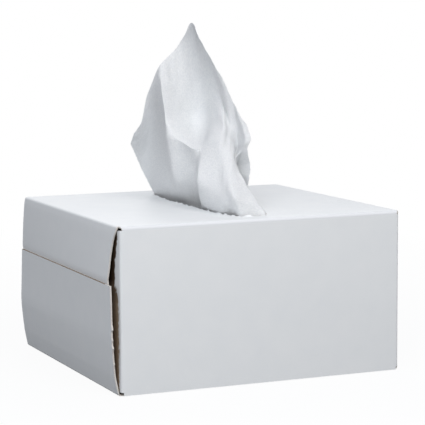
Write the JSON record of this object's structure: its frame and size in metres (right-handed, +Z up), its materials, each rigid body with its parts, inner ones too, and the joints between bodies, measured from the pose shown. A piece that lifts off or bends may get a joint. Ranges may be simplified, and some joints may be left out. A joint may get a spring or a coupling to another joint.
{
  "type": "pop-up box of lens cleaning wipes",
  "caption": "Small folded carton of lens cleaning wipes with an oval slot in its top, glued end flaps and a crumpled wipe standing ready in the slot.",
  "frame": {"origin": "middle of the carton's underside, half way along and across its panels", "axes": "+Z up, the front panel towards -Y, the sprung end towards -X"},
  "size_m": [0.1296, 0.121, 0.146],
  "materials": {
    "coated_board": "white clay coat outside, brown board inside",
    "folded_wipes": "matt",
    "wipe_sheet": "matt, slightly see-through"
  },
  "bodies": {
    "root": {"carton": "coated_board", "wipe_stack": "folded_wipes", "raised_wipe": "wipe_sheet"}
  },
  "joints": []
}
